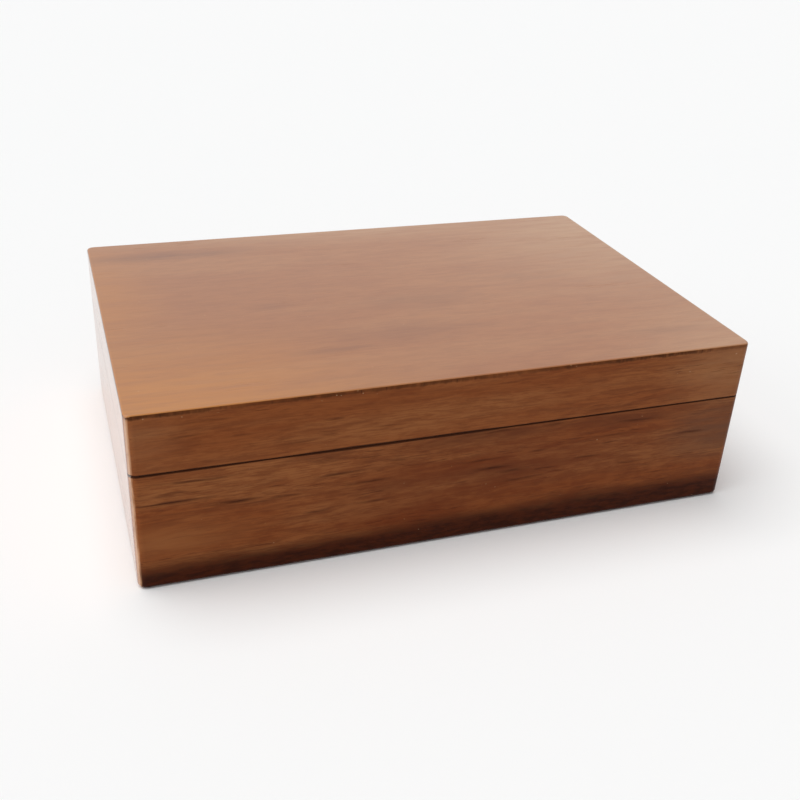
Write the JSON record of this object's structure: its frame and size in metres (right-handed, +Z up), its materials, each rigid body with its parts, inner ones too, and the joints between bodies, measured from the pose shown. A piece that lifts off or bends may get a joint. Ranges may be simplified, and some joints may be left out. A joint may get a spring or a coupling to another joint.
{
  "type": "shogi piece box",
  "caption": "Rectangular dark wood box with rounded corners, mitred joints and a flat lid that lifts off over an inner lip, for storing board game pieces.",
  "frame": {"origin": "middle of the underside, on the surface that the box stands on", "axes": "+X along the length, to the right seen from the front; -Y towards the front; +Z up, the way the lid lifts"},
  "size_m": [0.15, 0.1, 0.044],
  "materials": {
    "base_wood": "satin oiled, reddish brown",
    "lid_wood": "satin oiled, reddish brown",
    "floor_wood": "satin oiled, brown",
    "lining_wood": "matt, sanded, brown",
    "tongue_wood": "bare, planed, pale"
  },
  "bodies": {
    "box": {"front_wall": "base_wood", "back_wall": "base_wood", "left_wall": "base_wood", "right_wall": "base_wood", "floor": "floor_wood", "front_lining": "lining_wood", "back_lining": "lining_wood", "left_lining": "lining_wood", "right_lining": "lining_wood", "box_tongue_front_left": "tongue_wood", "box_tongue_front_right": "tongue_wood", "box_tongue_back_left": "tongue_wood", "box_tongue_back_right": "tongue_wood"},
    "lid": {"lid_top": "lid_wood", "lid_front_rail": "lid_wood", "lid_back_rail": "lid_wood", "lid_left_rail": "lid_wood", "lid_right_rail": "lid_wood", "lid_tongue_front_left": "tongue_wood", "lid_tongue_front_right": "tongue_wood", "lid_tongue_back_left": "tongue_wood", "lid_tongue_back_right": "tongue_wood"}
  },
  "joints": [
    {"name": "lid_lift", "type": "slide", "parent": "box", "child": "lid", "axis": [0, 0, 1], "range_m": [0, 0.05]}
  ]
}
